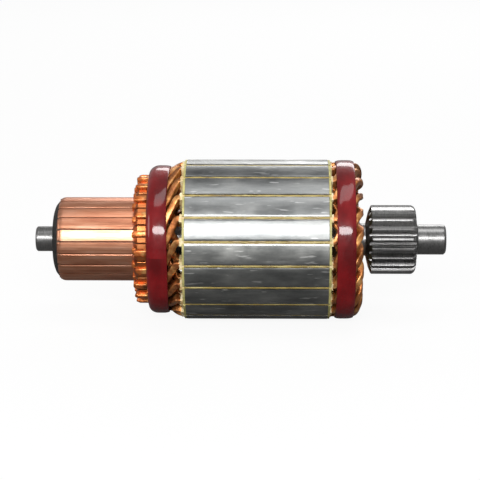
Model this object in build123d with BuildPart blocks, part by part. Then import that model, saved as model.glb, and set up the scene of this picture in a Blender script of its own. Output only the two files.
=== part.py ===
from build123d import *
from math import acos, cos, degrees, hypot, radians, sin, tan
import os

# Motor armature of a gear-reduction starter, in millimetres.
# The shaft lies along X, with the commutator at -X and the pinion at +X, and +Z is up.
# The origin is on the axis, midway between the ends of the shaft.
# Angles are in degrees about +X, from +Y towards +Z.

# Lengths along the shaft, in order from the commutator end to the drive end
commutator_journal_length = 7.3
moulding_dome_length = 2.6
brush_track_length = 30.2
riser_length = 5.6
commutator_overhang = 15.1
core_length = 56.0
drive_overhang = 14.1
neck_length = 1.2
pinion_length = 19.9
drive_journal_length = 12.2

# Shaft
commutator_journal_radius = 5.0
commutator_seat_radius = 6.5
core_seat_radius = 8.0
drive_journal_radius = 6.0
commutator_journal_chamfer = 0.6
drive_journal_chamfer = 0.8
journal_fillet = 0.8

# Pinion, cut in the shaft
tooth_count = 21
pinion_module = 1.2
pressure_angle = 20.0
pinion_root_clearance = 0.3
root_land_share = 0.7
pinion_back_cone = 2.2
pinion_front_chamfer = 1.6
pinion_front_drop = 2.1
flank_steps = 4
tooth_phase = 267.75

# Core and its slots
core_radius = 32.0
slot_count = 21
first_slot_angle = 270.0
lip_depth = 0.8
slot_opening = 1.2
end_insulator_thickness = 0.8
end_insulator_drop = 0.15
liner_thickness = 0.25
liner_edge_width = 0.7
liner_edge_depth = 0.3
commutator_cuff = 1.3
drive_cuff = 0.8

# Conductors, two layers of rectangular copper bar
bar_width = 2.5
bar_height = 3.4
bar_side_clearance = 0.1
bar_top_clearance = 0.05
separator_thickness = 0.5
coil_pitch = 5
commutator_pitch = 10
riser_lower_share = 0.1934
riser_layer_gap = 1.0
upper_end_setback = 1.4
lower_end_reach = 0.2
end_stake = 0.6
stake_share = 0.7
bend_reach = 0.6
bend_share = 0.5
leg_spans = 4
upper_dip_power = 1.4
lower_dip_power = 3.0
crown_angle = 12.0
crown_rounding = 1.2
crown_dip = 2.9

# Commutator
track_radius = 16.75
bar_corner_length = 2.2
bar_corner_drop = 1.2
segment_gap = 0.7
undercut_depth = 0.6
riser_rim = 0.1
riser_slope = 2.2
riser_slot_clearance = 0.05
riser_mica_drop = 2.7
anchor_share = 0.31
anchor_hook = 2.4
anchor_waist = 2.0
bush_share = 0.3
moulding_face_land = 1.0
commutator_turn = 2.0

# Binding bands
commutator_band_rim = 0.4
commutator_band_width = 8.2
commutator_band_shoulder_share = 0.75
drive_band_drop = 0.15
drive_band_width = 7.3
drive_band_gap = 2.2
drive_band_shoulder = 1.0
band_edge = 0.5
band_clearance = 0.15
band_bore_steps = 4

# Stations along X, counted from the end of the shaft at the commutator
shaft_length = (
    commutator_journal_length + moulding_dome_length + brush_track_length + riser_length
    + commutator_overhang + core_length + drive_overhang + neck_length
    + pinion_length + drive_journal_length
)
shaft_start = -shaft_length / 2
moulding_start = shaft_start + commutator_journal_length
segment_start = moulding_start + moulding_dome_length
riser_start = segment_start + brush_track_length
riser_end = riser_start + riser_length
core_start = riser_end + commutator_overhang
core_end = core_start + core_length
crown_end = core_end + drive_overhang
pinion_start = crown_end + neck_length
pinion_end = pinion_start + pinion_length
shaft_end = pinion_end + drive_journal_length

slot_step = 360 / slot_count
tooth_step = 360 / tooth_count
winding_start = core_start - end_insulator_thickness
winding_end = core_end + end_insulator_thickness

# Layers in the slot, from the lips inwards
slot_width = bar_width + 2 * (bar_side_clearance + liner_thickness)
slot_top = core_radius - lip_depth
upper_bar_top = slot_top - liner_thickness - bar_top_clearance
upper_bar_radius = upper_bar_top - bar_height / 2
lower_bar_top = upper_bar_top - bar_height - separator_thickness
lower_bar_radius = lower_bar_top - bar_height / 2
slot_bottom = lower_bar_top - bar_height - bar_top_clearance - liner_thickness
crown_lower_radius = lower_bar_radius - crown_dip

# Layers in the risers, between the track and the core
riser_lower_radius = track_radius + (core_radius - track_radius) * riser_lower_share
riser_upper_radius = riser_lower_radius + bar_height + riser_layer_gap
riser_radius = riser_upper_radius + riser_rim
riser_mica_radius = riser_radius - riser_mica_drop

# Commutator, from the track inwards
segment_bottom = track_radius * (1 - anchor_share)
bush_radius = commutator_seat_radius + (segment_bottom - commutator_seat_radius) * bush_share
moulding_face_radius = bush_radius + moulding_face_land
riser_slot_bottom = riser_lower_radius - bar_height / 2 - riser_slot_clearance
riser_slot_width = bar_width + 2 * riser_slot_clearance
first_segment_angle = first_slot_angle + commutator_turn


def slot_middles(bottom, top):
    """Locations at mid height between two radii, one in each slot, with local x outwards."""
    return PolarLocations((bottom + top) / 2, slot_count, start_angle=first_slot_angle)


def write(part, name):
    """Label a finished piece and write it as one node."""
    part.label = name
    export_step(part, f"parts/{name}.step")


os.makedirs("parts", exist_ok=True)


# Shaft: turned profile, then the pinion's tooth spaces cut between involute flanks
pitch_radius = pinion_module * tooth_count / 2
base_radius = pitch_radius * cos(radians(pressure_angle))
tip_radius = pitch_radius + pinion_module
root_radius = pitch_radius - pinion_module - pinion_root_clearance
cutter_radius = tip_radius + pinion_module


def involute_angle(radius):
    """Angle that an involute of the base circle has turned through at a radius."""
    pressure = acos(base_radius / radius)
    return degrees(tan(pressure) - pressure)


def flank(radius, side):
    """Point of a tooth space's flank, where the space is centred on local x."""
    half_space = 90 / tooth_count - involute_angle(pitch_radius) + involute_angle(radius)
    angle = radians(side * half_space)
    return (radius * cos(angle), radius * sin(angle))


flank_radii = [
    base_radius + (tip_radius - base_radius) * step / flank_steps for step in range(flank_steps + 1)
]
root_angle = radians(90 / tooth_count - involute_angle(pitch_radius)) * root_land_share
cutter_angle = radians(90 / tooth_count - involute_angle(pitch_radius) + involute_angle(tip_radius))

with BuildSketch() as tooth_space:
    with BuildLine():
        lower_flank = Polyline(*[flank(radius, -1) for radius in flank_radii])
        upper_flank = Polyline(*[flank(radius, 1) for radius in flank_radii])
        Polyline(
            lower_flank @ 0,
            (root_radius * cos(root_angle), -root_radius * sin(root_angle)),
            (root_radius * cos(root_angle), root_radius * sin(root_angle)),
            upper_flank @ 0,
        )
        Polyline(
            lower_flank @ 1,
            (cutter_radius * cos(cutter_angle), -cutter_radius * sin(cutter_angle)),
            (cutter_radius * cos(cutter_angle), cutter_radius * sin(cutter_angle)),
            upper_flank @ 1,
        )
    make_face()

with BuildPart() as shaft:
    with BuildSketch(Plane.XY):
        with BuildLine():
            Polyline(
                (shaft_start, 0),
                (shaft_start, commutator_journal_radius - commutator_journal_chamfer),
                (shaft_start + commutator_journal_chamfer, commutator_journal_radius),
                (moulding_start, commutator_journal_radius),
                (moulding_start, commutator_seat_radius),
                (riser_end, commutator_seat_radius),
                (riser_end, core_seat_radius),
                (crown_end - neck_length, core_seat_radius),
                (crown_end - neck_length, commutator_seat_radius),
                (pinion_start, commutator_seat_radius),
                (pinion_start + pinion_back_cone / 2, root_radius),
                (pinion_start + pinion_back_cone, tip_radius),
                (pinion_end - pinion_front_chamfer, tip_radius),
                (pinion_end - pinion_front_chamfer / 2, tip_radius - pinion_front_drop),
                (pinion_end, core_seat_radius),
                (pinion_end + journal_fillet, drive_journal_radius),
                (shaft_end - drive_journal_chamfer, drive_journal_radius),
                (shaft_end, drive_journal_radius - drive_journal_chamfer),
                (shaft_end, 0),
                close=True,
            )
        make_face()
    revolve(axis=Axis.X)
    with BuildSketch(Plane.YZ.offset(pinion_start)):
        with PolarLocations(0, tooth_count, start_angle=tooth_phase + tooth_step / 2):
            add(tooth_space.sketch)
    extrude(amount=pinion_length, mode=Mode.SUBTRACT)
write(shaft.part, "shaft")


# Core stack, pressed on the shaft, with semi-closed slots
def slotted_disc(outer_radius, plane, length):
    """Disc on the shaft with the core's slots through it."""
    with BuildPart() as disc:
        with BuildSketch(plane):
            Circle(outer_radius)
            Circle(core_seat_radius, mode=Mode.SUBTRACT)
            with slot_middles(slot_bottom, slot_top):
                Rectangle(slot_top - slot_bottom, slot_width, mode=Mode.SUBTRACT)
            with slot_middles(slot_top - lip_depth, core_radius + lip_depth):
                Rectangle(3 * lip_depth, slot_opening, mode=Mode.SUBTRACT)
        extrude(amount=length)
    return disc.part


write(slotted_disc(core_radius, Plane.YZ.offset(core_start), core_length), "core_stack")

insulator_radius = core_radius - end_insulator_drop
for name, start in (
    ("end_insulator_commutator_end", winding_start),
    ("end_insulator_drive_end", core_end),
):
    write(slotted_disc(insulator_radius, Plane.YZ.offset(start), end_insulator_thickness), name)


# Slot liners: paper folded round the bars, with its edges standing in the slot's opening
liner_start = winding_start - commutator_cuff
liner_end = winding_end + drive_cuff
liner_length = liner_end - liner_start

with BuildPart() as slot_liners:
    with BuildSketch(Plane.YZ.offset(liner_start)):
        with slot_middles(slot_bottom, slot_top):
            Rectangle(slot_top - slot_bottom, slot_width)
            Rectangle(
                slot_top - slot_bottom - 2 * liner_thickness,
                slot_width - 2 * liner_thickness,
                mode=Mode.SUBTRACT,
            )
    extrude(amount=liner_length)
    with BuildSketch(Plane.YZ.offset(core_start)):
        with slot_middles(slot_top, core_radius - liner_edge_depth):
            Rectangle(lip_depth - liner_edge_depth, liner_edge_width)
    extrude(amount=core_length)
write(slot_liners.part, "slot_liners")

with BuildPart() as slot_separators:
    with BuildSketch(Plane.YZ.offset(liner_start)):
        with slot_middles(lower_bar_top, lower_bar_top + separator_thickness):
            Rectangle(separator_thickness, bar_width)
    extrude(amount=liner_length)
write(slot_separators.part, "slot_separators")


# Commutator: the ring's section is shared by the segments, the mica and the moulding
anchor_line = [
    (segment_start, track_radius - anchor_waist),
    (segment_start + anchor_hook, segment_bottom + anchor_waist),
    (segment_start, segment_bottom + anchor_waist / 2),
    (segment_start + anchor_hook / 2, segment_bottom),
    (riser_end - anchor_hook / 2, segment_bottom),
    (riser_end, segment_bottom + anchor_waist / 2),
    (riser_end - anchor_hook, segment_bottom + anchor_waist),
    (riser_end, track_radius - anchor_waist),
]

with BuildPart() as segment:
    with BuildSketch(Plane.XY):
        with BuildLine():
            Polyline(*anchor_line)
            Polyline(
                anchor_line[-1],
                (riser_end, riser_radius),
                (riser_start + riser_slope, riser_radius),
                (riser_start + riser_slope / 3, riser_mica_radius),
                (riser_start, track_radius),
                (segment_start + bar_corner_length, track_radius),
            )
            ThreePointArc(
                (segment_start + bar_corner_length, track_radius),
                (segment_start + bar_corner_length / 4, track_radius - bar_corner_drop / 3),
                (segment_start, track_radius - bar_corner_drop),
            )
            Line((segment_start, track_radius - bar_corner_drop), anchor_line[0])
        make_face()
    revolve(axis=Axis.X, revolution_arc=slot_step)
    with BuildSketch(Plane.YZ.offset(segment_start)):
        with PolarLocations(core_radius / 2, 2, angular_range=slot_step, endpoint=True):
            Rectangle(core_radius, segment_gap)
    extrude(amount=riser_end - segment_start, mode=Mode.SUBTRACT)
    with BuildSketch(Plane.YZ.offset(riser_start)):
        with PolarLocations(riser_slot_bottom + core_radius / 2, 1, start_angle=slot_step / 2):
            Rectangle(core_radius, riser_slot_width)
    extrude(amount=riser_length, mode=Mode.SUBTRACT)

for number in range(slot_count):
    placed = segment.part.rotate(Axis.X, first_segment_angle + number * slot_step)
    write(placed, f"commutator_bar_{number + 1:02d}")

with BuildPart() as mica_segments:
    with BuildSketch(Plane.XY):
        with BuildLine():
            Polyline(*anchor_line)
            Polyline(
                anchor_line[-1],
                (riser_end, riser_mica_radius),
                (riser_start + riser_slope / 3, riser_mica_radius),
                (riser_start, track_radius - undercut_depth),
                (segment_start, track_radius - undercut_depth),
                anchor_line[0],
            )
        make_face()
    revolve(axis=Axis.X)
    with BuildSketch(Plane.YZ.offset(segment_start)):
        with PolarLocations(core_radius / 2, slot_count, start_angle=first_segment_angle):
            Rectangle(core_radius, segment_gap)
    extrude(amount=riser_end - segment_start, mode=Mode.INTERSECT)
write(mica_segments.part, "mica_segments")

dome_radius = track_radius - bar_corner_drop
with BuildPart() as commutator_moulding:
    with BuildSketch(Plane.XY):
        with BuildLine():
            Line((segment_start, dome_radius), anchor_line[0])
            Polyline(*anchor_line)
            Polyline(
                anchor_line[-1],
                (riser_end, bush_radius),
                (moulding_start, bush_radius),
                (moulding_start, moulding_face_radius),
            )
            ThreePointArc(
                (moulding_start, moulding_face_radius),
                (moulding_start + moulding_dome_length / 4, (moulding_face_radius + 2 * dome_radius) / 3),
                (segment_start, dome_radius),
            )
        make_face()
    revolve(axis=Axis.X)
write(commutator_moulding.part, "commutator_moulding")

with BuildPart() as commutator_bush:
    with BuildSketch(Plane.YZ.offset(moulding_start)):
        Circle(bush_radius)
        Circle(commutator_seat_radius, mode=Mode.SUBTRACT)
    extrude(amount=riser_end - moulding_start)
write(commutator_bush.part, "commutator_bush")


# Hairpin coils: one bar from a riser through the slot's upper layer, over the crown at the
# drive end, back through the lower layer of another slot and out to a second riser
twist_start = riser_end + bend_reach
twist_end = liner_start - bend_reach
drive_turn = coil_pitch * slot_step / 2
riser_turn = (commutator_pitch - coil_pitch) * slot_step / 2
crown_top = crown_end - bar_height / 2
crown_depth = crown_top - liner_end - bend_reach
crown_rise = ((crown_depth + crown_rounding) ** 2 - crown_rounding ** 2) ** 0.5 / drive_turn


class Station:
    """A place on the bar's centre line, and the direction of the bar's height there.

    A straight station is the end of a stretch that lies along the shaft, in a slot or a riser.
    """

    def __init__(self, along, radius, angle, lean=0.0, straight=False):
        outward = Vector(0, cos(radians(angle)), sin(radians(angle)))
        self.point = outward * radius + Vector(along, 0, 0)
        self.height = outward * cos(radians(lean)) + Vector(sin(radians(lean)), 0, 0)
        self.straight = straight


def dip(share, power):
    """Share of a layer's drop towards the risers, at a share of the way there from the slot."""
    return 1 - (1 - min(max(share, 0), 1)) ** power


def riser_leg(end, riser_layer, slot_layer, power, angle, riser_angle, lean=0.0):
    """Stations from the bar's end in a riser to the mouth of its slot."""
    stations = [
        Station(end, riser_layer, riser_angle, lean, straight=True),
        Station(end + end_stake, riser_layer, riser_angle, lean, straight=True),
        Station(twist_start, riser_layer, riser_angle, lean, straight=True),
    ]
    for step in range(leg_spans + 1):
        share = (step + bend_share) / (leg_spans + 2 * bend_share)
        stations.append(
            Station(
                twist_start + (twist_end - twist_start) * share,
                slot_layer + (riser_layer - slot_layer) * dip(1 - share, power),
                riser_angle + (angle - riser_angle) * share,
                lean,
            )
        )
    stations.append(Station(twist_end, slot_layer, angle, lean, straight=True))
    return stations


def crown_station(turn):
    """Station over the crown, where turn runs from one slot's angle to the other's about zero."""
    share = max(-1.0, min(1.0, turn / crown_angle))
    middle = (upper_bar_radius + crown_lower_radius) / 2
    radius = middle + (upper_bar_radius - middle) * sin(radians(90 * share))
    if turn < -crown_angle:
        fall = (-turn - crown_angle) / (drive_turn - crown_angle)
        radius += (lower_bar_radius - crown_lower_radius) * fall
    along = crown_top + crown_rounding - hypot(crown_rounding, crown_rise * turn)
    return Station(along, radius, turn - drive_turn, 90 - 90 * share)


upper_end = riser_start + upper_end_setback
lower_end = riser_start - lower_end_reach
upper_mouth = Station(liner_end + bend_reach, upper_bar_radius, 0, straight=True)
lower_mouth = Station(liner_end + bend_reach, lower_bar_radius, -2 * drive_turn, 180, straight=True)
leg_turns = [
    crown_angle + (drive_turn - crown_angle) * (leg_spans - step - bend_share) / leg_spans
    for step in range(leg_spans)
]
crown_turns = [crown_angle, crown_angle / 2, 0, -crown_angle / 2, -crown_angle]

route = riser_leg(
    upper_end, riser_upper_radius, upper_bar_radius, upper_dip_power, 0, riser_turn + commutator_turn
)
route.append(upper_mouth)
route += [crown_station(turn) for turn in leg_turns]
route += [crown_station(turn) for turn in crown_turns]
route += [crown_station(-turn) for turn in reversed(leg_turns)]
route.append(lower_mouth)
route += reversed(
    riser_leg(
        lower_end,
        riser_lower_radius,
        lower_bar_radius,
        lower_dip_power,
        -2 * drive_turn,
        -2 * drive_turn - riser_turn + commutator_turn,
        180,
    )
)


def bar_section(number):
    """Plane across the bar at a station, and how much the bend there spreads the section."""
    here = route[number]
    if here.straight:
        heading = Vector(1, 0, 0) if number < len(route) / 2 else Vector(-1, 0, 0)
        return Plane(origin=here.point, x_dir=here.height.cross(heading), z_dir=heading), 1
    inward = (here.point - route[number - 1].point).normalized()
    onward = (route[number + 1].point - here.point).normalized()
    tangent = (inward + onward).normalized()
    side = here.height.cross(tangent).normalized()
    return Plane(origin=here.point, x_dir=side, z_dir=tangent), 1 / tangent.dot(onward)


with BuildPart() as coil:
    for number in range(len(route)):
        plane, spread = bar_section(number)
        share = stake_share if number in (0, len(route) - 1) else 1
        with BuildSketch(plane):
            Rectangle(bar_width * spread * share, bar_height * share)
    loft(ruled=True)

for number in range(slot_count):
    placed = coil.part.rotate(Axis.X, first_slot_angle + number * slot_step)
    write(placed, f"coil_{number + 1:02d}")


# Binding bands over the end windings
band_start = riser_end
band_end = band_start + commutator_band_width
drive_band_radius = core_radius - drive_band_drop


def band_bore_at(along):
    """Radius that clears the upper layer between the risers and the core."""
    share = (twist_end - along - bar_width / 2) / (twist_end - twist_start)
    fall = (upper_bar_radius - riser_upper_radius) * dip(share, upper_dip_power)
    return upper_bar_top - fall + band_clearance


commutator_band_radius = band_bore_at(band_end) + commutator_band_rim
commutator_band_depth = commutator_band_radius - band_bore_at(band_start)
commutator_band_shoulder = commutator_band_depth * commutator_band_shoulder_share
bore_stations = [
    band_start + commutator_band_width * step / band_bore_steps for step in range(band_bore_steps + 1)
]


with BuildPart() as band_commutator_end:
    with BuildSketch(Plane.XY):
        with BuildLine():
            Polyline(
                (band_start, commutator_band_radius - commutator_band_shoulder),
                *[(along, band_bore_at(along)) for along in bore_stations],
                (band_end, commutator_band_radius - commutator_band_rim / 2),
                (band_end - band_edge, commutator_band_radius),
                (band_start + commutator_band_shoulder, commutator_band_radius),
            )
            RadiusArc(
                (band_start, commutator_band_radius - commutator_band_shoulder),
                (band_start + commutator_band_shoulder, commutator_band_radius),
                commutator_band_shoulder,
            )
        make_face()
    revolve(axis=Axis.X)
write(band_commutator_end.part, "band_commutator_end")

drive_band_start = winding_end + drive_band_gap
drive_band_end = drive_band_start + drive_band_width
with BuildPart() as band_drive_end:
    with BuildSketch(Plane.XY):
        with BuildLine():
            Polyline(
                (drive_band_end, drive_band_radius - drive_band_shoulder / 2),
                (drive_band_end, upper_bar_top + band_clearance),
                (drive_band_start, upper_bar_top + band_clearance),
                (drive_band_start, drive_band_radius - band_edge / 2),
                (drive_band_start + band_edge, drive_band_radius),
                (drive_band_end - drive_band_shoulder, drive_band_radius),
            )
            Line(
                (drive_band_end - drive_band_shoulder, drive_band_radius),
                (drive_band_end, drive_band_radius - drive_band_shoulder / 2),
            )
        make_face()
    revolve(axis=Axis.X)
write(band_drive_end.part, "band_drive_end")
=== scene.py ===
from math import acos, atan2, cos, hypot, pi, radians, sin, sqrt, tan
from random import Random

import bpy
from mathutils import Matrix, Vector
from mathutils.geometry import tessellate_polygon


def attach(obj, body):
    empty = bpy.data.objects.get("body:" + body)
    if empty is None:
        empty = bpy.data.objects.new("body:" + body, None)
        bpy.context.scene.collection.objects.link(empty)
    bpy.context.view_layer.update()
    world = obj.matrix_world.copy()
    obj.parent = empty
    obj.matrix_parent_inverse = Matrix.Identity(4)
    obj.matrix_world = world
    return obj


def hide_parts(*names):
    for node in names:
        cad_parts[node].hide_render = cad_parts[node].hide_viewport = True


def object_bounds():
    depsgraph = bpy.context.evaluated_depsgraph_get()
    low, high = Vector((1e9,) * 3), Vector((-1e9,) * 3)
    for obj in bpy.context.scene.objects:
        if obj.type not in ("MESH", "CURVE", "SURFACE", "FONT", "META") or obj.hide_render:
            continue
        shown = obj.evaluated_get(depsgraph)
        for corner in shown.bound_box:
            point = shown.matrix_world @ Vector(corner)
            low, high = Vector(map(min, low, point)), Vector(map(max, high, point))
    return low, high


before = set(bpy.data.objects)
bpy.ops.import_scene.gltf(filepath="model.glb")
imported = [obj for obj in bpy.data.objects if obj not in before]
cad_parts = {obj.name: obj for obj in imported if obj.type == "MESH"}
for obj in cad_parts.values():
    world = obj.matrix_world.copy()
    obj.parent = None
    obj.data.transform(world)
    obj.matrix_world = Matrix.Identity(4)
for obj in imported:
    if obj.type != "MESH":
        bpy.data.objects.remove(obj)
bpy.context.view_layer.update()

MM = 0.001
BODY = "root"

# Sizes of the part in millimetres, and angles in degrees about +X from +Y towards +Z
SLOTS = 21
STEP = 360 / SLOTS
FIRST_SLOT = 270.0
FIRST_GAP = 272.0
TOOTH_PHASE = 267.75
SHAFT_START, SHAFT_END = -82.1, 82.1
MOULDING_START, SEGMENT_START = -74.8, -72.2
RISER_START, RISER_END = -42.0, -36.4
CORE_START, CORE_END = -21.3, 34.7
SHEET = 0.8
CROWN_END = 48.8
PINION_START, PINION_END = 50.0, 69.9
CORE_RADIUS, CORE_SEAT = 32.0, 8.0
LEFT_JOURNAL, RIGHT_JOURNAL = 5.0, 6.0
LEFT_CHAMFER, RIGHT_CHAMFER = 0.6, 0.8
SHAFT_SEAT = 6.5
BUSH, SEGMENT_BOTTOM = 8.0, 12.4
BACK_CONE, FRONT_CHAMFER = 2.2, 1.6
SLOT_OPENING, SLOT_WIDTH = 1.2, 3.2
SLOT_TOP, SLOT_BOTTOM = 31.2, 23.3
LINER = 0.25
CUFF_LEFT, CUFF_RIGHT = 1.3, 0.8
BAR_WIDTH, BAR_HEIGHT, BAR_CORNER = 2.5, 3.4, 0.55
UPPER, LOWER = 29.2, 25.3
RISER_UPPER, RISER_LOWER = 24.1, 19.7
TRACK, GAP = 16.75, 0.42
RISER_RADIUS = 24.2
DRIVE_TURN, RISER_TURN, COMMUTATOR_TURN = 2.5 * STEP, 2.5 * STEP, 2.0


# Camera: the photograph's frame is 480 pixels across, at 0.402 mm each on the axis
FRAME_PX = 480
MM_PER_PX = 0.402
CAMERA_DISTANCE = 683.0
CAMERA_ELEVATION = 15.1
CAMERA_ALONG = 11.0
CAMERA_ROLL = -0.12
AIM = Vector((-0.25, 0.0, -0.35))
SENSOR = 36.0


def make_camera():
    """Camera at the photograph's viewing angle."""
    data = bpy.data.cameras.new("camera")
    data.sensor_width = SENSOR
    data.lens = SENSOR * CAMERA_DISTANCE / (FRAME_PX * MM_PER_PX)
    camera = bpy.data.objects.new("camera", data)
    bpy.context.scene.collection.objects.link(camera)
    rise = radians(CAMERA_ELEVATION)
    place = Vector((CAMERA_ALONG, -CAMERA_DISTANCE * cos(rise), CAMERA_DISTANCE * sin(rise)))
    turn = (AIM - place).to_track_quat("-Z", "Y").to_matrix().to_4x4()
    roll = Matrix.Rotation(radians(CAMERA_ROLL), 4, "Z")
    camera.matrix_world = Matrix.Translation(place * MM) @ turn @ roll
    bpy.context.scene.camera = camera


# Node helpers


class Shade:
    """A principled material built from procedural nodes, placed by position in the frame."""

    def __init__(self, name, **sockets):
        self.material = bpy.data.materials.new(name)
        self.material.use_nodes = True
        self.nodes = self.material.node_tree.nodes
        self.links = self.material.node_tree.links
        self.shader = self.nodes["Principled BSDF"]
        for socket, value in sockets.items():
            self.shader.inputs[socket.replace("_", " ")].default_value = value
        self.place = self.nodes.new("ShaderNodeNewGeometry").outputs["Position"]

    def link(self, source, target):
        self.links.new(source, target)

    def math(self, operation, first, second=0.0, clamp=False):
        node = self.nodes.new("ShaderNodeMath")
        node.operation = operation
        node.use_clamp = clamp
        for socket, value in zip(node.inputs, (first, second)):
            if isinstance(value, (int, float)):
                socket.default_value = value
            else:
                self.link(value, socket)
        return node.outputs[0]

    def split(self):
        node = self.nodes.new("ShaderNodeSeparateXYZ")
        self.link(self.place, node.inputs[0])
        return node.outputs

    def around(self):
        """Position as distance along the shaft, angle about it and radius, in metres and radians."""
        along, across, up = self.split()
        angle = self.math("ARCTAN2", up, across)
        squares = [self.math("POWER", side, 2.0) for side in (across, up)]
        radius = self.math("SQRT", self.math("ADD", *squares))
        node = self.nodes.new("ShaderNodeCombineXYZ")
        self.link(along, node.inputs[0])
        self.link(self.math("MULTIPLY", angle, 0.03), node.inputs[1])
        self.link(radius, node.inputs[2])
        return node.outputs[0]

    def noise(self, scale, stretch=(1, 1, 1), detail=4.0, rough=0.55, space=None):
        mapping = self.nodes.new("ShaderNodeMapping")
        mapping.inputs["Scale"].default_value = stretch
        self.link(space or self.place, mapping.inputs["Vector"])
        node = self.nodes.new("ShaderNodeTexNoise")
        node.inputs["Scale"].default_value = scale
        node.inputs["Detail"].default_value = detail
        node.inputs["Roughness"].default_value = rough
        self.link(mapping.outputs[0], node.inputs["Vector"])
        return node.outputs["Fac"]

    def ramp(self, factor, *stops):
        node = self.nodes.new("ShaderNodeValToRGB")
        elements = node.color_ramp.elements
        while len(elements) < len(stops):
            elements.new(0.5)
        for element, (position, color) in zip(elements, stops):
            element.position = position
            element.color = (*color, 1.0) if len(color) == 3 else color
        self.link(factor, node.inputs[0])
        return node.outputs[0]

    def level(self, factor, low, high, out_low, out_high):
        node = self.nodes.new("ShaderNodeMapRange")
        for socket, value in zip(node.inputs[1:5], (low, high, out_low, out_high)):
            socket.default_value = value
        self.link(factor, node.inputs[0])
        return node.outputs[0]

    def mix(self, factor, first, second, blend="MIX"):
        node = self.nodes.new("ShaderNodeMix")
        node.data_type = "RGBA"
        node.blend_type = blend
        for socket, value in ((node.inputs[0], factor), (node.inputs[6], first), (node.inputs[7], second)):
            if isinstance(value, (int, float)):
                socket.default_value = value
            elif isinstance(value, tuple):
                socket.default_value = (*value, 1.0)
            else:
                self.link(value, socket)
        return node.outputs[2]

    def attribute(self, name):
        node = self.nodes.new("ShaderNodeAttribute")
        node.attribute_name = name
        return node.outputs["Fac"]

    def color(self, source):
        self.link(source, self.shader.inputs["Base Color"])

    def rough(self, source):
        self.link(source, self.shader.inputs["Roughness"])

    def bump(self, height, distance, strength=1.0):
        node = self.nodes.new("ShaderNodeBump")
        node.inputs["Distance"].default_value = distance
        node.inputs["Strength"].default_value = strength
        self.link(height, node.inputs["Height"])
        self.link(node.outputs[0], self.shader.inputs["Normal"])


# Materials


def steel_shaft():
    """Ground journals and hobbed teeth: dark steel with fine turning rings."""
    shade = Shade("steel_shaft", Metallic=1.0)
    around = shade.around()
    rings = shade.noise(900, (4, 0.15, 1), 3, space=around)
    stain = shade.noise(90, detail=5)
    base = shade.ramp(rings, (0.3, (0.20, 0.20, 0.20)), (0.7, (0.36, 0.355, 0.35)))
    shade.color(shade.mix(shade.level(stain, 0.45, 0.75, 0.0, 0.5), base, (0.12, 0.115, 0.11)))
    shade.rough(shade.level(rings, 0.2, 0.8, 0.24, 0.4))
    shade.bump(rings, 0.00002)
    return shade.material


def core_steel():
    """Turned stack of laminations: silver, with streaks, scratches and a varnish tint."""
    shade = Shade("core_steel", Metallic=1.0)
    around = shade.around()
    plates = shade.noise(1500, (1.4, 0.02, 0.02), 2, space=around)
    streaks = shade.noise(260, (0.12, 1.0, 0.2), 5, 0.6, space=around)
    clouds = shade.noise(75, (1, 1.6, 1), 5, 0.6, space=around)
    scratches = shade.noise(420, (0.35, 2.2, 1), 2, 0.4, space=around)
    tone = shade.attribute("tone")
    base = shade.ramp(
        shade.math("ADD", shade.math("MULTIPLY", streaks, 0.55), shade.math("MULTIPLY", clouds, 0.45)),
        (0.36, (0.20, 0.205, 0.205)),
        (0.5, (0.31, 0.315, 0.31)),
        (0.64, (0.46, 0.46, 0.45)),
    )
    bright = shade.level(scratches, 0.66, 0.72, 0.0, 0.8)
    base = shade.mix(bright, base, (0.75, 0.75, 0.74))
    tint = shade.ramp(tone, (0.0, (0.72, 0.73, 0.74)), (1.0, (1.1, 1.1, 1.08)))
    base = shade.mix(1.0, base, tint, "MULTIPLY")
    shade.color(base)
    shade.rough(shade.level(clouds, 0.3, 0.7, 0.28, 0.46))
    shade.bump(shade.math("ADD", plates, shade.math("MULTIPLY", streaks, 0.6)), 0.00003)
    return shade.material


def track_copper():
    """Turned copper with blotches of tarnish, and lathe marks round the brush track."""
    shade = Shade("track_copper", Metallic=1.0)
    around = shade.around()
    streaks = shade.noise(900, (0.03, 1.6, 1), 3, space=around)
    blotch = shade.noise(110, (0.5, 1.6, 1), 5, 0.6, space=around)
    tone = shade.attribute("tone")
    base = shade.ramp(
        shade.math("ADD", shade.math("MULTIPLY", blotch, 0.55), shade.math("MULTIPLY", streaks, 0.45)),
        (0.36, (0.56, 0.22, 0.13)),
        (0.5, (0.80, 0.37, 0.22)),
        (0.64, (0.92, 0.52, 0.36)),
    )
    risers = shade.ramp(blotch, (0.35, (0.42, 0.12, 0.035)), (0.65, (0.72, 0.27, 0.10)))
    riser_start = RISER_START * MM
    base = shade.mix(shade.level(shade.split()[0], riser_start, riser_start + MM, 0.0, 1.0), base, risers)
    tint = shade.ramp(tone, (0.0, (0.88, 0.82, 0.80)), (1.0, (1.0, 1.0, 1.0)))
    shade.color(shade.mix(1.0, base, tint, "MULTIPLY"))
    shade.rough(shade.level(streaks, 0.3, 0.7, 0.3, 0.42))
    shade.bump(streaks, 0.00003)
    return shade.material


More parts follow.
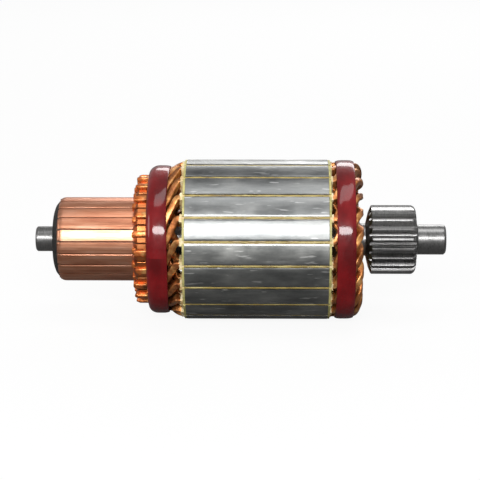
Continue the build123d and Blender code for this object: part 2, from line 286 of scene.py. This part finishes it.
def coil_copper():
    """Copper bar in amber varnish, bare and orange where it is staked in the risers."""
    shade = Shade("coil_copper", Metallic=0.85, Coat_Weight=0.35, Coat_Roughness=0.2)
    patches = shade.noise(260, detail=5)
    fine = shade.noise(900, detail=3)
    tone = shade.attribute("tone")
    varnished = shade.ramp(
        patches,
        (0.32, (0.24, 0.065, 0.02)),
        (0.5, (0.58, 0.22, 0.07)),
        (0.66, (0.90, 0.50, 0.19)),
    )
    tint = shade.ramp(tone, (0, (0.7, 0.66, 0.6)), (1, (1.15, 1.1, 1.0)))
    varnished = shade.mix(1.0, varnished, tint, "MULTIPLY")
    bare = shade.ramp(fine, (0.35, (0.60, 0.14, 0.03)), (0.65, (0.88, 0.28, 0.075)))
    along = shade.split()[0]
    shade.color(shade.mix(shade.level(along, -37.5 * MM, -38.6 * MM, 0.0, 1.0), varnished, bare))
    shade.rough(shade.level(patches, 0.3, 0.7, 0.28, 0.48))
    shade.bump(shade.math("ADD", fine, patches), 0.00008)
    return shade.material


def band_lacquer():
    """Dark red lacquer over the binding: glossy, slightly uneven."""
    shade = Shade("band_lacquer", Specular_IOR_Level=0.1, Coat_Weight=0.75, Coat_Roughness=0.09)
    around = shade.around()
    cloud = shade.noise(70, (1.4, 1, 1), 4, space=around)
    ripple = shade.noise(170, (2.0, 0.8, 1), 3, space=around)
    shade.color(
        shade.ramp(
            cloud,
            (0.35, (0.10, 0.002, 0.003)),
            (0.55, (0.18, 0.004, 0.006)),
            (0.7, (0.24, 0.008, 0.010)),
        )
    )
    shade.rough(shade.level(cloud, 0.3, 0.7, 0.3, 0.42))
    shade.bump(ripple, 0.00035)
    return shade.material


def liner_paper():
    """Cream paper cuffs, amber where the varnish has run in."""
    shade = Shade("liner_paper", Coat_Weight=0.2, Coat_Roughness=0.3)
    run = shade.noise(420, detail=5)
    shade.color(
        shade.ramp(run, (0.3, (0.52, 0.31, 0.10)), (0.48, (0.80, 0.64, 0.34)), (0.65, (0.90, 0.80, 0.56)))
    )
    shade.rough(shade.level(run, 0.3, 0.7, 0.4, 0.7))
    shade.bump(run, 0.0001)
    return shade.material


def liner_edge():
    """Edges of the liners standing in the slots' openings, yellow with varnish."""
    shade = Shade("liner_edge", Coat_Weight=0.3, Coat_Roughness=0.25)
    run = shade.noise(500, (0.3, 1, 1), 5)
    shade.color(
        shade.ramp(run, (0.3, (0.20, 0.13, 0.03)), (0.5, (0.44, 0.33, 0.09)), (0.7, (0.62, 0.52, 0.22)))
    )
    shade.rough(shade.level(run, 0.3, 0.7, 0.4, 0.65))
    shade.bump(run, 0.0001)
    return shade.material


def end_sheet():
    """Yellow insulating sheet on the core's ends, olive where it is thin."""
    shade = Shade("end_sheet")
    run = shade.noise(240, detail=5)
    shade.color(shade.ramp(run, (0.35, (0.34, 0.32, 0.11)), (0.6, (0.60, 0.53, 0.20))))
    shade.rough(shade.level(run, 0.3, 0.7, 0.4, 0.65))
    shade.bump(run, 0.0001)
    return shade.material


def moulding_black():
    """Black phenolic moulding with a faint grain."""
    shade = Shade("moulding_black", Specular_IOR_Level=0.3)
    grain = shade.noise(700, detail=4)
    shade.color(shade.ramp(grain, (0.35, (0.010, 0.010, 0.010)), (0.7, (0.035, 0.033, 0.030))))
    shade.rough(shade.level(grain, 0.3, 0.7, 0.38, 0.6))
    shade.bump(grain, 0.00006)
    return shade.material


def mica_brown():
    """Undercut mica, dark with copper and carbon dust."""
    shade = Shade("mica_brown")
    dust = shade.noise(800, detail=4)
    shade.color(shade.ramp(dust, (0.35, (0.045, 0.028, 0.02)), (0.7, (0.16, 0.09, 0.055))))
    shade.rough(shade.level(dust, 0.3, 0.7, 0.6, 0.85))
    return shade.material


# Mesh helpers: every point is (along, radius, angle) or a vector, in millimetres


def polar(along, radius, angle):
    turn = radians(angle)
    return Vector((along, radius * cos(turn), radius * sin(turn)))


class Solid:
    """Vertices and faces of one piece, gathered from sweeps."""

    def __init__(self):
        self.points = []
        self.faces = []
        self.tones = []
        self.material_index = []

    def add(self, rings, tone=0.5, material=0, caps=True):
        """Sweep of closed rings with equal counts, capped by a fan of the end rings."""
        first = len(self.points)
        count = len(rings[0])
        for ring in rings:
            self.points.extend(ring)
        made = []
        for layer in range(len(rings) - 1):
            for place in range(count):
                here = first + layer * count + place
                beside = first + layer * count + (place + 1) % count
                made.append((here, beside, beside + count, here + count))
        if caps:
            made.append(tuple(reversed(range(first, first + count))))
            last = first + (len(rings) - 1) * count
            made.append(tuple(range(last, last + count)))
        self.extend(made, tone, material)

    def extend(self, made, tone, material):
        self.faces.extend(made)
        self.tones.extend([tone] * len(made))
        self.material_index.extend([material] * len(made))

    def build(self, name, materials, replaced, sharp=35.0):
        mesh = bpy.data.meshes.new(name)
        mesh.from_pydata([point * MM for point in self.points], [], self.faces)
        mesh.validate()
        attribute = mesh.attributes.new("tone", "FLOAT", "FACE")
        attribute.data.foreach_set("value", self.tones)
        for material in materials:
            mesh.materials.append(material)
        mesh.polygons.foreach_set("material_index", self.material_index)
        mesh.shade_smooth()
        mesh.set_sharp_from_angle(angle=radians(sharp))
        piece = bpy.data.objects.new(name, mesh)
        bpy.context.scene.collection.objects.link(piece)
        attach(piece, BODY)
        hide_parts(*replaced)
        return piece


def ring_about(along, radius, count):
    """Full circle about the shaft."""
    return [polar(along, radius, 360 * place / count) for place in range(count)]


def rounded_profile(points, reach, steps=4):
    """Open outline of (along, radius) points with each corner rounded by a quadratic curve."""
    smooth = [points[0]]
    for before, corner, after in zip(points, points[1:], points[2:]):
        arms = []
        for other in (before, after):
            length = hypot(other[0] - corner[0], other[1] - corner[1])
            share = min(reach, length * 0.45) / length
            arms.append([corner[axis] + (other[axis] - corner[axis]) * share for axis in (0, 1)])
        for step in range(steps + 1):
            share = step / steps
            smooth.append(
                tuple(
                    arms[0][axis] * (1 - share) ** 2
                    + corner[axis] * 2 * share * (1 - share)
                    + arms[1][axis] * share ** 2
                    for axis in (0, 1)
                )
            )
    smooth.append(points[-1])
    return smooth


# Shaft with its pinion


PINION_MODULE, PINION_TEETH = 1.2, 21
PITCH_RADIUS = PINION_MODULE * PINION_TEETH / 2
BASE_RADIUS = PITCH_RADIUS * cos(radians(20.0))
TIP_RADIUS = PITCH_RADIUS + PINION_MODULE
ROOT_RADIUS = PITCH_RADIUS - PINION_MODULE - 0.3


def involute(radius):
    pressure = acos(min(1.0, BASE_RADIUS / radius))
    return (tan(pressure) - pressure) * 180 / pi


def tooth_outline():
    """Radius and angle of the points round one tooth, from space middle to space middle."""
    half_tooth = 90 / PINION_TEETH + involute(PITCH_RADIUS)
    radii = [BASE_RADIUS + (TIP_RADIUS - 0.12 - BASE_RADIUS) * step / 5 for step in range(6)]
    flank = [(radius, half_tooth - involute(radius)) for radius in radii]
    flank.append((TIP_RADIUS, half_tooth - involute(TIP_RADIUS) - 0.5))
    foot = 180 / PINION_TEETH
    side = [(ROOT_RADIUS, foot), (ROOT_RADIUS + 0.04, foot - 0.9), (ROOT_RADIUS + 0.25, foot - 1.9)] + flank
    outline = [(radius, -angle) for radius, angle in side]
    outline += [(radius, angle) for radius, angle in reversed(side)][:-1]
    return outline


def make_shaft(material):
    """Turned shaft in rings, each ring cut down to the teeth along the pinion."""
    outline = rounded_profile(
        [
            (SHAFT_START, 0.01),
            (SHAFT_START, LEFT_JOURNAL - LEFT_CHAMFER),
            (SHAFT_START + LEFT_CHAMFER, LEFT_JOURNAL),
            (MOULDING_START, LEFT_JOURNAL),
            (MOULDING_START + 0.02, SHAFT_SEAT),
            (RISER_END, SHAFT_SEAT),
            (RISER_END + 0.02, CORE_SEAT),
            (CROWN_END - 1.2, CORE_SEAT),
            (CROWN_END - 1.1, SHAFT_SEAT),
            (PINION_START, SHAFT_SEAT),
            (PINION_START + 1.1, ROOT_RADIUS),
            (PINION_START + BACK_CONE, TIP_RADIUS),
            (PINION_END - FRONT_CHAMFER, TIP_RADIUS),
            (PINION_END - 0.7, TIP_RADIUS - 0.5),
            (PINION_END - 0.1, TIP_RADIUS - 1.4),
            (PINION_END, TIP_RADIUS - 2.1),
            (PINION_END + 0.05, CORE_SEAT),
            (PINION_END + 0.8, RIGHT_JOURNAL),
            (SHAFT_END - RIGHT_CHAMFER, RIGHT_JOURNAL),
            (SHAFT_END, RIGHT_JOURNAL - RIGHT_CHAMFER),
            (SHAFT_END, 0.01),
        ],
        0.25,
    )
    teeth = []
    for tooth in range(PINION_TEETH):
        for radius, angle in tooth_outline():
            teeth.append((radius, TOOTH_PHASE + tooth * 360 / PINION_TEETH + angle))
    rings = []
    for along, radius in outline:
        inside = PINION_START < along < PINION_END
        ring = [(min(radius, limit) if inside else radius, angle) for limit, angle in teeth]
        rings.append([polar(along, reach, angle) for reach, angle in ring])
    solid = Solid()
    solid.add(rings)
    solid.build("shaft_turned", [material], ["shaft"], 28)


# Core


def core_outline(tooth):
    """Outline of one slot and the tooth after it, as (radius, angle) points."""
    slot = FIRST_SLOT + tooth * STEP

    def at(across, radius):
        return (hypot(across, radius), slot + atan2(across, radius) * 180 / pi)

    lip = SLOT_OPENING / 2
    wall = SLOT_WIDTH / 2
    edge = 0.12
    points = [
        at(-lip, CORE_RADIUS - edge),
        at(-lip, SLOT_TOP),
        at(-wall, SLOT_TOP),
        at(-wall, SLOT_BOTTOM),
        at(wall, SLOT_BOTTOM),
        at(wall, SLOT_TOP),
        at(lip, SLOT_TOP),
        at(lip, CORE_RADIUS - edge),
    ]
    start = atan2(lip + edge, CORE_RADIUS) * 180 / pi
    steps = 12
    for step in range(steps + 1):
        angle = start + (STEP - 2 * start) * step / steps
        flat = 0.05 * (1 - (2 * step / steps - 1) ** 2)
        points.append((CORE_RADIUS - 0.02 - 0.05 + flat, slot + angle))
    return points


def make_core(material):
    """Stack with its slots open, swept from end to end, and its two end faces."""
    outlines = [core_outline(tooth) for tooth in range(SLOTS)]
    count = len(outlines[0])
    outer = [point for outline in outlines for point in outline]
    bore_count = 84
    solid = Solid()
    randomness = Random(4)
    tones = [randomness.random() for _ in range(SLOTS)]
    stations = [(CORE_START, -0.1), (CORE_START + 0.12, 0.0), (CORE_END - 0.12, 0.0), (CORE_END, -0.1)]
    total = len(outer)
    for along, drop in stations:
        for radius, angle in outer:
            solid.points.append(polar(along, radius + (drop if radius > SLOT_TOP + 0.3 else 0.0), angle))
    for layer in range(len(stations) - 1):
        for place in range(total):
            here = layer * total + place
            beside = layer * total + (place + 1) % total
            solid.extend([(here, beside, beside + total, here + total)], tones[place // count], 0)
    for layer, flip in ((0, True), (len(stations) - 1, False)):
        along = stations[layer][0]
        bore = [(CORE_SEAT, 360 * place / bore_count) for place in range(bore_count)]
        bore_start = len(solid.points)
        solid.points.extend(polar(along, radius, angle) for radius, angle in bore)
        loops = [
            [Vector((point.y, point.z, 0)) for point in solid.points[layer * total:(layer + 1) * total]],
            [Vector((point.y, point.z, 0)) for point in solid.points[bore_start:]],
        ]
        index = list(range(layer * total, (layer + 1) * total))
        index += list(range(bore_start, bore_start + bore_count))
        made = []
        for triangle in tessellate_polygon(loops):
            corners = [index[corner] for corner in triangle]
            first, second, third = (solid.points[corner] for corner in corners)
            outward = (second - first).cross(third - first).x > 0
            made.append(tuple(reversed(corners)) if outward == flip else tuple(corners))
        solid.extend(made, 0.5, 0)
    low, high = len(solid.points) - 2 * bore_count, len(solid.points) - bore_count
    bore_faces = [
        (low + (place + 1) % bore_count, low + place, high + place, high + (place + 1) % bore_count)
        for place in range(bore_count)
    ]
    solid.extend(bore_faces, 0.5, 0)
    solid.build("core_laminations", [material], ["core_stack"], 30)


# Slot liners


def make_liners(cuff, edge):
    """Paper boxes round the bars, with ragged cuffs, and their edges in the slots' openings."""
    solid = Solid()
    randomness = Random(11)
    start, end = CORE_START - SHEET - CUFF_LEFT, CORE_END + SHEET + CUFF_RIGHT
    half = SLOT_WIDTH / 2 - 0.01
    for number in range(SLOTS):
        turn = Matrix.Rotation(radians(FIRST_SLOT + number * STEP), 3, "X")

        def corner(along, across, radius):
            return turn @ Vector((along, radius, across))

        outline = [(-half, SLOT_BOTTOM), (half, SLOT_BOTTOM), (half, SLOT_TOP), (-half, SLOT_TOP)]
        rings = []
        for inner in (False, True):
            layers = (0.0, 0.5, 1.0) if not inner else (1.0, 0.5, 0.0)
            for share in layers:
                ring = []
                for side in range(4):
                    for part in range(4):
                        here, after = outline[side], outline[(side + 1) % 4]
                        across = here[0] + (after[0] - here[0]) * part / 4
                        radius = here[1] + (after[1] - here[1]) * part / 4
                        if inner:
                            across *= (half - LINER) / half
                            middle = (SLOT_BOTTOM + SLOT_TOP) / 2
                            tall = (SLOT_TOP - SLOT_BOTTOM) / 2
                            radius = middle + (radius - middle) * (tall - LINER) / tall
                        ragged = Random(number * 100 + side * 4 + part + (50 if share > 0.6 else 0))
                        jag = ragged.uniform(0.0, 0.45)
                        along = start + (end - start) * share
                        if share == 0.0:
                            along += jag
                        elif share == 1.0:
                            along -= jag * 0.6
                        ring.append(corner(along, across, radius))
                rings.append(ring)
        rings.append(rings[0])
        solid.add(rings, randomness.random(), 0, caps=False)
        steps = 48
        strip = []
        for step in range(steps + 1):
            along = CORE_START + 0.02 + (CORE_END - CORE_START - 0.04) * step / steps
            width = 0.36 + randomness.uniform(-0.12, 0.12)
            top = CORE_RADIUS - 0.12 + randomness.uniform(-0.12, 0.04)
            slip = randomness.uniform(-0.04, 0.04)
            strip.append(
                [
                    corner(along, -width + slip, SLOT_TOP - 0.02),
                    corner(along, width + slip, SLOT_TOP - 0.02),
                    corner(along, width * 0.9 + slip, top - 0.1),
                    corner(along, width * 0.4 + slip, top),
                    corner(along, -width * 0.4 + slip, top),
                    corner(along, -width * 0.9 + slip, top - 0.1),
                ]
            )
        solid.add(strip, randomness.random(), 1)
    solid.build("slot_liner_paper", [cuff, edge], ["slot_liners"], 40)


# Commutator


def segment_half_angle(radius):
    """Half angle of a bar at a radius, with parallel-sided gaps beside it."""
    return STEP / 2 - atan2(GAP / 2, radius) * 180 / pi


def make_segments(material):
    """Copper bars with eased edges, each with its slotted riser."""
    randomness = Random(23)
    inner = SEGMENT_BOTTOM
    corner_points = [(0.0, 1.2), (0.25, 0.72), (0.9, 0.26), (1.6, 0.07), (2.4, 0.0)]
    corner = [(SEGMENT_START + along, TRACK - drop) for along, drop in corner_points]
    body = corner + [(RISER_START, TRACK)]
    riser = [(RISER_START, TRACK - 0.2), (-41.75, 19.2), (-41.3, 21.3), (-40.9, 22.4), (-40.4, 23.5)]
    riser += [(-39.8, RISER_RADIUS), (RISER_END, RISER_RADIUS)]
    for number in range(SLOTS):
        middle = FIRST_GAP + (number + 0.5) * STEP
        tone = randomness.random()
        solid = Solid()
        rings = []
        for along, top in body:
            half = segment_half_angle(top)
            ease = 0.09
            ring = [polar(along, inner, middle - segment_half_angle(inner)), polar(along, inner, middle)]
            ring.append(polar(along, inner, middle + segment_half_angle(inner)))
            ring.append(polar(along, top - ease, middle + half))
            steps = 8
            for step in range(steps + 1):
                share = step / steps
                angle = middle + (half - 0.45) * (1 - 2 * share)
                ring.append(polar(along, top, angle))
            ring.append(polar(along, top - ease, middle - half))
            rings.append(ring)
        solid.add(rings, tone)
        slot_half = BAR_WIDTH / 2 + 0.05
        floor = RISER_LOWER - BAR_HEIGHT / 2 - 0.05
        rings = []
        for along, top in riser:
            half_inner = segment_half_angle(inner)

            def across(radius, offset):
                return polar(along, hypot(radius, offset), middle + atan2(offset, radius) * 180 / pi)

            half_top = segment_half_angle(top)
            level = min(floor, top - 0.02)
            ring = [
                polar(along, inner, middle - half_inner),
                polar(along, inner, middle + half_inner),
                polar(along, top - 0.15, middle + half_top),
                polar(along, top, middle + half_top - 0.5),
                across(top, slot_half + 0.12),
                across(top - 0.12, slot_half),
                across(level, slot_half),
                across(level, -slot_half),
                across(top - 0.12, -slot_half),
                across(top, -slot_half - 0.12),
                polar(along, top, middle - half_top + 0.5),
                polar(along, top - 0.15, middle - half_top),
            ]
            rings.append(ring)
        solid.add(rings, tone)
        name = f"copper_segment_{number + 1:02d}"
        solid.build(name, [material], [f"commutator_bar_{number + 1:02d}"], 32)


def make_moulding(material):
    """Domed black body under the bars, with a moulded step round the bush."""
    outline = rounded_profile(
        [
            (MOULDING_START + 0.5, BUSH),
            (MOULDING_START, 8.2),
            (MOULDING_START, 9.2),
            (MOULDING_START + 0.35, 11.6),
            (MOULDING_START + 1.1, 13.7),
            (SEGMENT_START, 15.5),
            (SEGMENT_START + 0.1, 12.38),
            (RISER_END, 12.38),
            (RISER_END, BUSH),
        ],
        0.5,
    )
    count = 96
    rings = [ring_about(along, radius, count) for along, radius in outline]
    rings.append(rings[0])
    solid = Solid()
    solid.add(rings, caps=False)
    solid.build("moulded_body", [material], ["commutator_moulding"], 40)


# Coils


def eased(share, ease=0.16):
    """Travel from 0 to 1 at a steady pace with soft starts and ends."""
    pace = 1 / (1 - ease)
    if share < ease:
        return pace * share * share / (2 * ease)
    if share > 1 - ease:
        return 1 - pace * (1 - share) ** 2 / (2 * ease)
    return pace * (share - ease / 2)


def riser_leg(end, riser_layer, slot_layer, power, angle, riser_angle, lean, wander):
    """Stations (along, radius, angle, lean) from a riser to the mouth of the slot."""
    start, stop = RISER_END + 0.2, CORE_START - SHEET - CUFF_LEFT - 0.1
    stations = [(end, riser_layer, riser_angle, lean), (end + 0.35, riser_layer, riser_angle, lean)]
    stations.append((end + 0.8, riser_layer, riser_angle, lean))
    stations.append((RISER_END - 1.5, riser_layer, riser_angle, lean))
    steps = 26
    for step in range(steps + 1):
        share = step / steps
        fall = 1 - share ** power
        swing = sin(pi * share)
        stations.append(
            (
                start + (stop - start) * share,
                slot_layer + (riser_layer - slot_layer) * fall + wander[0] * swing,
                riser_angle + (angle - riser_angle) * eased(share) + wander[1] * swing,
                lean,
            )
        )
    return stations


def crown(wander):
    """Stations over the crown, from the mouth of one slot to the mouth of the other."""
    crown_angle, rounding, low_radius = 12.0, 1.2, 22.4
    top = CROWN_END - BAR_HEIGHT / 2 - 0.25 + wander[2]
    mouth = CORE_END + SHEET + CUFF_RIGHT + 0.6
    rise = sqrt((top - mouth + rounding) ** 2 - rounding ** 2) / DRIVE_TURN
    middle = (UPPER + low_radius) / 2
    stations = []
    steps = 64
    for step in range(steps + 1):
        turn = DRIVE_TURN * (1 - 2 * step / steps)
        share = max(-1.0, min(1.0, turn / crown_angle))
        radius = middle + (UPPER - middle) * sin(radians(90 * share))
        if turn < -crown_angle:
            radius += (LOWER - low_radius) * (-turn - crown_angle) / (DRIVE_TURN - crown_angle)
        along = top + rounding - hypot(rounding, rise * turn)
        swing = cos(pi * turn / (2 * DRIVE_TURN))
        angle = turn - DRIVE_TURN + wander[3] * swing
        stations.append((along, radius, angle, 90 - 90 * sin(radians(90 * share))))
    return stations


def relaxed(stations, passes, fixed):
    """Stations eased by averaging with their neighbours, except a few at each end."""
    for _ in range(passes):
        new = list(stations)
        for place in range(fixed, len(stations) - fixed):
            new[place] = tuple(
                0.5 * here + 0.25 * (before + after)
                for before, here, after in zip(stations[place - 1], stations[place], stations[place + 1])
            )
        stations = new
    return stations


def bar_outline(scale):
    """Rounded rectangle (side, height) of the bar's section."""
    half_width, half_height, corner = BAR_WIDTH / 2, BAR_HEIGHT / 2, BAR_CORNER
    points = []
    for quarter, (side, up) in enumerate(((1, 1), (-1, 1), (-1, -1), (1, -1))):
        for step in range(4):
            turn = radians(90 * quarter + 90 * step / 3)
            points.append(
                (
                    (side * (half_width - corner) + corner * cos(turn)) * scale[0],
                    (up * (half_height - corner) + corner * sin(turn)) * scale[1],
                )
            )
    return points


def make_coils(material):
    """Hairpins: one bar from riser to riser, through two slots and over the crown."""
    randomness = Random(7)
    for number in range(SLOTS):
        shift = FIRST_SLOT + number * STEP
        wander = [randomness.uniform(-0.25, 0.1), randomness.uniform(-1.0, 1.0)]
        wander += [randomness.uniform(-0.5, 0.1), randomness.uniform(-1.0, 1.0)]
        end = randomness.uniform(-0.5, 0.3)
        lift, twist = randomness.uniform(-0.5, 0.15), randomness.uniform(-1.4, 1.4)
        first = riser_leg(
            RISER_START + 1.4 + end, RISER_UPPER, UPPER, 1.4, 0, RISER_TURN + COMMUTATOR_TURN, 0, wander
        )
        last = riser_leg(
            RISER_START - 0.2 + end * 0.4, RISER_LOWER, LOWER, 3.0, -2 * DRIVE_TURN,
            -2 * DRIVE_TURN - RISER_TURN + COMMUTATOR_TURN, 180, [0, 0],
        )
        slot_in, slot_out = CORE_START - SHEET - 0.4, CORE_END + SHEET + 0.3
        stations = relaxed(first, 3, 4) + [(slot_in, UPPER, 0, 0), (slot_out, UPPER, 0, 0)]
        stations += relaxed(crown(wander), 4, 1)
        stations += [(slot_out, LOWER, -2 * DRIVE_TURN, 180), (slot_in, LOWER, -2 * DRIVE_TURN, 180)]
        stations += list(reversed(relaxed(last, 3, 4)))
        for place, share in ((0, 1.0), (1, 0.6)):
            along, radius, angle, lean = stations[place]
            stations[place] = (along, radius + lift * share, angle + twist * share, lean)
        places = [polar(along, radius, angle + shift) for along, radius, angle, _ in stations]
        rings = []
        last_place = len(places) - 1
        for place, (station, here) in enumerate(zip(stations, places)):
            tangent = (places[min(place + 1, last_place)] - places[max(place - 1, 0)]).normalized()
            turn, lean = radians(station[2] + shift), radians(station[3])
            height = Vector((sin(lean), cos(turn) * cos(lean), sin(turn) * cos(lean)))
            side = height.cross(tangent).normalized()
            height = tangent.cross(side).normalized()
            staked = (0.62, 0.8) if place in (0, last_place) else (1, 1)
            if place in (1, last_place - 1):
                staked = (0.88, 0.96)
            rings.append([here + side * across + height * up for across, up in bar_outline(staked)])
        solid = Solid()
        solid.add(rings, randomness.random())
        name = f"hairpin_{number + 1:02d}"
        solid.build(name, [material], [f"coil_{number + 1:02d}"], 40)


# Bands


def make_band(name, outline, material, replaced, swell, seed):
    """Binding under lacquer: a ring whose outside wanders a little round the shaft."""
    count = 144
    randomness = Random(seed)
    waves = []
    for turns in (2, 3, 5, 9, 14):
        waves.append((turns, randomness.uniform(0, 2 * pi), randomness.uniform(0.4, 1.0)))
    solid = Solid()
    rings = []
    for along, radius, loose in rounded_loose(outline):
        ring = []
        for place in range(count):
            angle = 2 * pi * place / count
            wave = sum(size * sin(turns * angle + phase) / turns for turns, phase, size in waves)
            drop = swell * loose * (0.5 + 0.5 * max(-1, min(1, wave)))
            sway = 0.25 * loose * sin(3 * angle + waves[0][1])
            ring.append(polar(along + sway, radius - drop, 360 * place / count))
        rings.append(ring)
    rings.append(rings[0])
    solid.add(rings, caps=False)
    solid.build(name, [material], replaced, 50)


def rounded_loose(outline):
    """Band outline with rounded corners, looser where it is outside the winding."""
    bore = min(radius for _, radius in outline[-2:])
    smooth = rounded_profile(outline, 0.2, 1)
    top = max(radius for _, radius in smooth)
    return [(along, radius, max(0.0, min(1.0, (radius - bore) / (top - bore)))) for along, radius in smooth]


def bead(start, end, sides, top, left, right, bore):
    """Rounded band outline, with (length, depth) shoulders and the bore back to the start."""
    steps = 8
    outline = []
    for step in range(steps + 1):
        turn = pi / 2 * step / steps
        outline.append((start + left[0] * (1 - cos(turn)), top - left[1] * (1 - sin(turn))))
    for step in range(steps + 1):
        turn = pi / 2 * (1 - step / steps)
        outline.append((end - right[0] * (1 - cos(turn)), top - right[1] * (1 - sin(turn))))
    outline += [(start + (end - start) * share, radius) for share, radius in bore]
    outline[0] = (start, min(outline[0][1], sides))
    return outline


def make_bands(material):
    """Commutator-end and drive-end bands."""
    left = bead(-36.4, -28.2, 26.6, 29.75, (3.8, 3.1), (2.6, 0.5), [(1, 29.15), (0.55, 27.7), (0, 26.0)])
    make_band("lacquered_band_left", left, material, ["band_commutator_end"], 0.16, 5)
    right = bead(37.7, 45.0, 31.3, 31.85, (2.4, 0.7), (2.8, 0.7), [(1, 31.05), (0.5, 31.05), (0, 31.05)])
    make_band("lacquered_band_right", right, material, ["band_drive_end"], 0.14, 9)


def dress_cad(names, material):
    """Give CAD nodes that keep their own shape a finish."""
    for name in names:
        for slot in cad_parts[name].material_slots:
            slot.material = material


# Studio


def shown_to_camera(shade_tree, socket, lit, shown):
    """Value of a socket for light on the part, and as the camera sees it."""
    nodes, links = shade_tree.nodes, shade_tree.links
    rays = nodes.new("ShaderNodeLightPath")
    level = nodes.new("ShaderNodeMapRange")
    level.inputs[3].default_value = lit
    level.inputs[4].default_value = shown
    links.new(rays.outputs["Is Camera Ray"], level.inputs[0])
    links.new(level.outputs[0], socket)


def make_studio():
    """Pale floor under the part, white surroundings and soft lamps from the front and above."""
    world = bpy.data.worlds.new("studio")
    bpy.context.scene.world = world
    world.use_nodes = True
    sky = world.node_tree.nodes["Background"]
    sky.inputs["Color"].default_value = (1, 1, 1, 1)
    shown_to_camera(world.node_tree, sky.inputs["Strength"], 0.36, 1.0)
    mesh = bpy.data.meshes.new("floor")
    half, low = 3.0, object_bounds()[0][2]
    corners = [(-half, -half, low), (half, -half, low), (half, half, low), (-half, half, low)]
    mesh.from_pydata(corners, [], [(0, 1, 2, 3)])
    floor = bpy.data.objects.new("floor", mesh)
    bpy.context.scene.collection.objects.link(floor)
    paint = bpy.data.materials.new("pale_floor")
    paint.use_nodes = True
    nodes, links = paint.node_tree.nodes, paint.node_tree.links
    shader = nodes["Principled BSDF"]
    shown_to_camera(paint.node_tree, shader.inputs["Base Color"], 0.14, 0.9)
    shader.inputs["Roughness"].default_value = 0.9
    glow = nodes.new("ShaderNodeEmission")
    blend = nodes.new("ShaderNodeMixShader")
    shown_to_camera(paint.node_tree, blend.inputs[0], 0.0, 0.92)
    links.new(shader.outputs[0], blend.inputs[1])
    links.new(glow.outputs[0], blend.inputs[2])
    links.new(blend.outputs[0], nodes["Material Output"].inputs["Surface"])
    mesh.materials.append(paint)
    lamps = [
        ("key", (-0.05, -0.88, 0.46), (0.8, 0.2), 8.0),
        ("top", (0.1, -0.1, 1.1), (1.0, 0.4), 2.8),
        ("side", (-1.1, -0.3, 0.35), (0.5, 0.5), 2.0),
        ("back", (0.2, 1.0, 0.5), (0.9, 0.3), 3.0),
    ]
    for name, place, size, power in lamps:
        data = bpy.data.lights.new(name, "AREA")
        data.shape = "ELLIPSE"
        data.size, data.size_y = size
        data.energy = power
        lamp = bpy.data.objects.new(name, data)
        bpy.context.scene.collection.objects.link(lamp)
        turn = (-Vector(place)).to_track_quat("-Z", "Y").to_matrix().to_4x4()
        lamp.matrix_world = Matrix.Translation(Vector(place)) @ turn


def main():
    """Camera, pieces, then the studio."""
    make_camera()
    steel = steel_shaft()
    make_shaft(steel)
    make_core(core_steel())
    make_liners(liner_paper(), liner_edge())
    make_segments(track_copper())
    make_moulding(moulding_black())
    make_coils(coil_copper())
    make_bands(band_lacquer())
    dress_cad(["end_insulator_commutator_end", "end_insulator_drive_end"], end_sheet())
    dress_cad(["mica_segments"], mica_brown())
    dress_cad(["slot_separators"], liner_paper())
    dress_cad(["commutator_bush"], steel)
    make_studio()
    bpy.context.scene.view_settings.view_transform = "Standard"


main()
